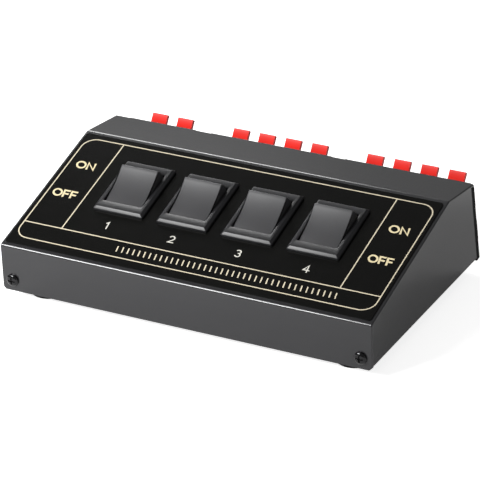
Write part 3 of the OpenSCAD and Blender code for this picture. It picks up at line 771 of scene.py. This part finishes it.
# Middle lines of the printed strokes, in a cell of height 1, with the cell's width
STROKES = {
    "1": (0.34, [np.array([[0.02, 0.72], [0.24, 0.92], [0.24, 0.0]])]),
    "2": (0.60, [np.concatenate([arc(0.29, 0.66, 0.23, 0.26, 165, -38), [[0.06, 0.08], [0.58, 0.08]]])]),
    "3": (0.58, [
        np.concatenate([arc(0.27, 0.71, 0.21, 0.21, 155, -75), arc(0.28, 0.29, 0.23, 0.22, 72, -155)]),
    ]),
    "4": (0.66, [
        np.array([[0.66, 0.29], [0.06, 0.29], [0.44, 0.93], [0.44, 0.37]]),
        np.array([[0.44, 0.21], [0.44, 0.0]]),
    ]),
    "O": (0.98, [arc(0.45, 0.5, 0.39, 0.42, 0, 345, 23)]),
    "N": (0.84, [np.array([[0.08, 0.0], [0.08, 0.93], [0.70, 0.07], [0.70, 1.0]])]),
    "F": (0.72, [
        np.array([[0.08, 0.0], [0.08, 0.92], [0.64, 0.92]]),
        np.array([[0.16, 0.48], [0.56, 0.48]]),
    ]),
}

# Text, middle on the panel (x, and s from the front bend) and width, in millimetres
WORDS = [
    ("ON", -79.9, 59.4, 10.2),
    ("OFF", -79.8, 39.1, 12.9),
    ("ON", 79.2, 58.7, 10.0),
    ("OFF", 79.5, 38.4, 12.4),
]
NUMERALS = [
    ("1", -50.2, 24.8, 1.8),
    ("2", -16.9, 24.6, 3.2),
    ("3", 16.4, 24.6, 3.2),
    ("4", 50.2, 24.2, 3.4),
]


def place_words(name, words, height, weight, lean, material):
    """Words at (text, x, s, width) on the panel, in one piece of ink: strokes of the given weight whose
    cells follow each other, made as wide as given, and leaning by lean for each mm of height."""
    parts = []
    for text, x, s, width in words:
        starts = np.cumsum([0.0] + [STROKES[letter][0] for letter in text])
        for start, letter in zip(starts, text):
            for path in STROKES[letter][1]:
                place = (path + [start - starts[-1] / 2, -0.5]) * [width / starts[-1], height]
                place = place + np.outer(place[:, 1], [lean, 0.0]) + [x, s]
                parts.append(ink_band(place, weight, closed=letter == "O"))
    piece = mesh_object(name, *join_parts(parts), material)
    correct_normals(piece)
    return ride_and_slot(piece, "console", "overlay_film")


class CONSOLE_OT_words(bpy.types.Operator):
    """Printed numerals and the words ON and OFF"""

    bl_idname = "console.words"
    bl_label = "Numerals and words"

    def execute(self, context):
        p = context.scene.console_print
        s = surfaces()
        place_words("printed_words", WORDS, p.letter_h, p.weight, p.lean, s["letters"])
        thin = p.weight * p.numeral_weight
        place_words("printed_numerals", NUMERALS, p.numeral_h, thin, p.lean / 2, s["white"])
        return {"FINISHED"}


class CONSOLE_OT_bars(bpy.types.Operator):
    """Plain row of printed bars in the lower strip"""

    bl_idname = "console.bars"
    bl_label = "Printed bars"

    def execute(self, context):
        p = context.scene.console_print
        aside, up = p.bar_h * p.lean / 2, p.bar_h / 2
        parts = [
            ink_band([[x - aside, p.bar_s - up], [x + aside, p.bar_s + up]], p.bar_w)
            for x in np.linspace(p.bar_first, p.bar_last, p.bars)
        ]
        piece = mesh_object("printed_bars", *join_parts(parts), surfaces()["ink"])
        correct_normals(piece)
        ride_and_slot(piece, "console", "overlay_film")
        return {"FINISHED"}


def switch_points(k, points):
    """Millimetres (x, s, n) about the middle of switch k, n from the steel, to metres in the frame's axes."""
    pivot = np.array(JOINTS[f"rocker_{k}"]["pos_m"]) / MM
    p = np.asarray(points, float) + np.array([pivot[0], bpy.context.scene.console_switch.centre_s, 0.0])
    return on_panel(p)


def turned_edge(half_x, half_y, height, radius, low, high, corner_r, steps=3):
    """Rows round an edge: at angle a the wall leans in by radius (1 - cos a) and rises by radius sin a, and
    the edge's own sharp corner, radius tan(half the turn) away from its start, is at the given place."""
    a, start = np.radians(np.linspace(low, high, steps + 1)), math.radians(low)
    reach = radius * math.tan(math.radians(high - low) / 2)
    inward = radius * (math.cos(start) - np.cos(a)) - reach * math.sin(start)
    up = radius * (np.sin(a) - math.sin(start)) - reach * math.cos(start)
    corner = np.full(len(a), corner_r)
    return np.column_stack([half_x - inward, half_y - inward, corner, height + up]).tolist()


class CONSOLE_OT_bezels(bpy.types.Operator):
    """Moulded switch bodies with bevelled bezels"""

    bl_idname = "console.bezels"
    bl_label = "Switch bodies"

    def execute(self, context):
        w = context.scene.console_switch
        top = FILM_T + w.bezel_h
        half_x, half_y = w.bezel_w / 2, w.bezel_l / 2
        low_cut, rim_cut = 0.4, 0.15  # small slopes at the body's underside and at the bezel's foot
        body_r, rim_r, pocket_r = 0.4, 0.6, 0.5  # corner radii, seen from above
        # (half width, half length, corner radius, height) from the body's underside up, over the bezel
        # and down into the pocket
        rows = [
            (w.body_w - low_cut, w.body_l - low_cut, 0.3, -w.body_h),
            (w.body_w, w.body_l, body_r, -w.body_h + low_cut),
            (w.body_w, w.body_l, body_r, FILM_T),
            (half_x - rim_cut, half_y - rim_cut, 0.5, FILM_T),
            (half_x, half_y, rim_r, FILM_T + rim_cut),
        ]
        rows += turned_edge(half_x, half_y, top - w.bevel, w.edge_r, 0.0, 45.0, rim_r)
        rows += turned_edge(half_x - w.bevel, half_y - w.bevel, top, w.edge_r, 45.0, 90.0, rim_r)
        # the pocket's edge slopes in towards the rocker, with a small turn at its top and at its foot
        brink, brow, toe = w.lead_in + 0.1, w.lead_in - 0.05, 0.12
        slope_foot = top - w.lead_in * 0.8
        rows += [
            (w.pocket_w + brink, w.pocket_r + brink, 0.9, top),
            (w.pocket_w + brow, w.pocket_r + brow, 0.8, top - 0.06),
            (w.pocket_w + toe, w.pocket_r + toe, pocket_r, slope_foot),
            (w.pocket_w, w.pocket_r, pocket_r, slope_foot - 0.15),
        ]
        # below the pivot the pocket's ends are arcs about it
        rows += [
            (w.pocket_w, w.pocket_r * math.cos(a), pocket_r, top - w.pivot_depth - w.pocket_r * math.sin(a))
            for a in np.radians(np.arange(0, 78, 11))
        ]
        rings = [np.insert(rounded_rectangle(x, y, r), 2, n, axis=1) for x, y, r, n in rows]
        points, faces = capped_stack(np.array(rings))
        for k in SWITCHES:
            piece = mesh_object(f"switch_body_{k}", switch_points(k, points), faces, surfaces()["bezel"], 32)
            ride_and_slot(piece, "console", "frame_plastic", f"switch_frame_{k}")
        return {"FINISHED"}


def rocker_outline(w):
    """Side view of a rocker about its pivot, anticlockwise: a hollow face between two ends that are arcs
    about the pivot. The face's height at y is the end's height less dish (1 - (y / half)^2)."""
    end_z = math.sqrt(w.rocker_r**2 - w.rocker_half**2)
    y = np.linspace(w.rocker_half, -w.rocker_half, 15)
    face = np.stack([y, end_z - w.dish * (1 - (y / w.rocker_half) ** 2)], 1)
    a_low, a_high = math.asin(-w.skirt / w.rocker_r), math.atan2(end_z, w.rocker_half)
    a = np.linspace(a_low, a_high, 9)
    right = w.rocker_r * np.stack([np.cos(a), np.sin(a)], 1)
    left = right[::-1] * np.array([-1, 1])
    rear_edge = corner_arc(right[-2], face[0], face[1], w.edge_round)
    front_edge = corner_arc(face[-2], face[-1], left[1], w.edge_round)
    return np.concatenate([right[:-1], rear_edge, face[1:-1], front_edge, left[1:]])


class CONSOLE_OT_rockers(bpy.types.Operator):
    """Rockers with hollow faces and soft edges"""

    bl_idname = "console.rockers"
    bl_label = "Rockers"

    def execute(self, context):
        w = context.scene.console_switch
        points, faces = soft_prism(rocker_outline(w), w.rocker_w / 2, w.soft)
        angle = SLOPE + math.radians(w.tilt)
        turn = np.array([
            [1, 0, 0],
            [0, math.cos(angle), -math.sin(angle)],
            [0, math.sin(angle), math.cos(angle)],
        ])
        for k in SWITCHES:
            pivot = np.array(JOINTS[f"rocker_{k}"]["pos_m"])
            placed = points @ turn.T * MM + pivot
            piece = mesh_object(f"rocker_cap_{k}", placed, faces, surfaces()["rocker"], 32)
            correct_normals(piece)
            ride_and_slot(piece, f"rocker_{k}", "rocker_plastic", f"rocker_{k}")
        return {"FINISHED"}


class CONSOLE_OT_levers(bpy.types.Operator):
    """Push-terminal levers with softened edges"""

    bl_idname = "console.levers"
    bl_label = "Levers"

    def execute(self, context):
        s = surfaces()
        for colour in ("red", "black"):
            for i in TERMINALS:
                node = f"{colour}_lever_{i}"
                name, finish = f"{colour}_thumb_lever_{i}", s[f"lever_{colour}"]
                piece = softened_copy(node, name, finish, width_mm=0.22, angle=50.0)
                ride_and_slot(piece, node, f"lever_{colour}", node)
        return {"FINISHED"}


class CONSOLE_OT_terminals(bpy.types.Operator):
    """Terminal housings, their clips, the board and the leads"""

    bl_idname = "console.terminals"
    bl_label = "Terminal housings"

    def execute(self, context):
        s = surfaces()
        for node in ("input_block", "output_block_a", "output_block_b"):
            piece = softened_copy(node, f"{node}_housing", s["block"], width_mm=0.15, angle=60.0)
            ride_and_slot(piece, "console", "block_plastic", node)
        for node in ("input_clips", "output_clips_a", "output_clips_b"):
            dress(node, s["clip"])
        dress("terminal_board", s["board"])
        dress("switch_leads", s["lead"])
        for k in SWITCHES:
            dress(f"switch_lugs_{k}", s["lug"])
        return {"FINISHED"}


class CONSOLE_OT_fixings(bpy.types.Operator):
    """Rubber feet and black screws"""

    bl_idname = "console.fixings"
    bl_label = "Feet and screws"

    def execute(self, context):
        s = surfaces()
        feet = softened_copy("feet", "rubber_feet", s["rubber"], width_mm=0.3, angle=45.0)
        ride_and_slot(feet, "console", "foot_rubber", "feet")
        for node in ("foot_screws", "front_screws", "block_screws", "rear_panel_screws"):
            piece = softened_copy(node, f"{node}_blackened", s["screw"], width_mm=0.08, angle=50.0)
            ride_and_slot(piece, "console", "screw_black", node)
        return {"FINISHED"}


# ---- stage ----


def soft_lamp(name, place, aim, size, power):
    """A rectangular lamp at a place, facing the point aim."""
    data = bpy.data.lights.new(name, "AREA")
    data.energy = power
    data.shape = "RECTANGLE"
    data.size, data.size_y = size
    lamp = bpy.data.objects.new(name, data)
    bpy.context.scene.collection.objects.link(lamp)
    lamp.location = place
    lamp.rotation_euler = (Vector(aim) - Vector(place)).to_track_quat("-Z", "Y").to_euler()


def white_floor():
    """White paper sweep with the object's soft shadow. It glows to the camera's own rays, so that it looks
    white, and a little to mirrored rays, but not to diffuse rays, so the glow itself lights nothing."""
    material, tree = new_material("white_paper")
    path = add(tree, "ShaderNodeLightPath")
    camera_glow, mirror_glow = 0.8, 0.08
    seen = {"i0": path.outputs["Is Camera Ray"], "i1": camera_glow}
    direct = add(tree, "ShaderNodeMath", {"operation": "MULTIPLY"}, **seen).outputs[0]
    mirrored = {"i0": path.outputs["Is Glossy Ray"], "i1": mirror_glow, "i2": direct}
    lift = add(tree, "ShaderNodeMath", {"operation": "MULTIPLY_ADD"}, **mirrored)
    paper = add(tree, "ShaderNodeBsdfDiffuse", Color=linear("#f4f4f4"))
    glow = add(tree, "ShaderNodeEmission", Color=(1, 1, 1, 1), Strength=lift.outputs[0])
    both = add(tree, "ShaderNodeAddShader", i0=paper.outputs[0], i1=glow.outputs[0])
    finish_material(tree, both.outputs[0])
    return material


# Place of each lamp, the point it faces, and its width and height, in metres
LAMPS = {
    "key": ((-0.3, -0.47, 0.38), (0, 0, 0.03), (0.32, 0.17)),
    "rim": ((-0.346, 0.446, 0.386), (0, 0, 0.03), (0.3, 0.14)),
    "fill": ((0.95, -0.5, 0.28), (0, 0, 0.02), (0.5, 0.4)),
}
FLOOR_HALF = 6.0  # the floor reaches this many metres to each side


class CONSOLE_OT_stage(bpy.types.Operator):
    """White floor, soft lamps, even light and the camera"""

    bl_idname = "console.stage"
    bl_label = "Stage"

    def execute(self, context):
        g = context.scene.console_stage
        x = np.array([-1, 1, 1, -1]) * FLOOR_HALF
        y = np.array([-1, -1, 1, 1]) * FLOOR_HALF
        floor = mesh_object("floor", np.column_stack([x, y, np.zeros(4)]), [[0, 1, 2, 3]], white_floor())
        for name, (place, aim, size) in LAMPS.items():
            soft_lamp(f"{name}_lamp", place, aim, size, getattr(g, name))
        world = bpy.data.worlds.new("even_light")
        context.scene.world = world
        world.use_nodes = True
        tree = world.node_tree
        tree.nodes.clear()
        path = add(tree, "ShaderNodeLightPath")
        rays = {"i0": path.outputs["Is Camera Ray"], "i1": path.outputs["Is Transmission Ray"]}
        seen = add(tree, "ShaderNodeMath", {"operation": "MAXIMUM"}, **rays).outputs[0]
        even = add(tree, "ShaderNodeBackground", Color=(1, 1, 1, 1), Strength=g.world)
        white = add(tree, "ShaderNodeBackground", Color=(1, 1, 1, 1), Strength=1.0)
        both = add(tree, "ShaderNodeMixShader", Fac=seen, i1=even.outputs[0], i2=white.outputs[0])
        add(tree, "ShaderNodeOutputWorld", Surface=both.outputs[0])
        data = bpy.data.cameras.new("camera")
        data.lens = g.lens
        data.sensor_width = 36.0
        data.clip_end = 20.0
        camera = bpy.data.objects.new("camera", data)
        context.scene.collection.objects.link(camera)
        camera.location = g.place
        camera.rotation_euler = Euler([math.radians(t) for t in g.turn], "XYZ")
        context.scene.camera = camera
        context.scene.view_settings.view_transform = "Standard"
        return {"FINISHED"}


class CONSOLE_PT_panel(bpy.types.Panel):
    """Lists the sizes, the colours and the pieces"""

    bl_label = "Console"
    bl_idname = "CONSOLE_PT_panel"
    bl_space_type = "VIEW_3D"
    bl_region_type = "UI"
    bl_category = "Console"

    def draw(self, context):
        for name, group in SETTINGS.items():
            box = self.layout.box()
            box.label(text=group.__doc__)
            for key in group.__annotations__:
                box.prop(getattr(context.scene, name), key)
        for piece in PIECES:
            self.layout.operator(piece.bl_idname)


SETTINGS = {
    "console_print": PrintSettings,
    "console_switch": SwitchSettings,
    "console_finish": FinishSettings,
    "console_stage": StageSettings,
}
PIECES = [
    CONSOLE_OT_shell,
    CONSOLE_OT_film,
    CONSOLE_OT_lines,
    CONSOLE_OT_words,
    CONSOLE_OT_bars,
    CONSOLE_OT_bezels,
    CONSOLE_OT_rockers,
    CONSOLE_OT_levers,
    CONSOLE_OT_terminals,
    CONSOLE_OT_fixings,
    CONSOLE_OT_stage,
]


def register():
    for group in SETTINGS.values():
        bpy.utils.register_class(group)
    for name, group in SETTINGS.items():
        setattr(bpy.types.Scene, name, bpy.props.PointerProperty(type=group))
    for piece in PIECES + [CONSOLE_PT_panel]:
        bpy.utils.register_class(piece)


def unregister():
    for piece in [CONSOLE_PT_panel] + PIECES[::-1]:
        bpy.utils.unregister_class(piece)
    for name, group in SETTINGS.items():
        delattr(bpy.types.Scene, name)
        bpy.utils.unregister_class(group)


def main():
    """Registers the classes and makes every piece and the stage."""
    register()
    for piece in PIECES:
        group, name = piece.bl_idname.split(".")
        getattr(getattr(bpy.ops, group), name)()


if __name__ == "__main__":
    main()
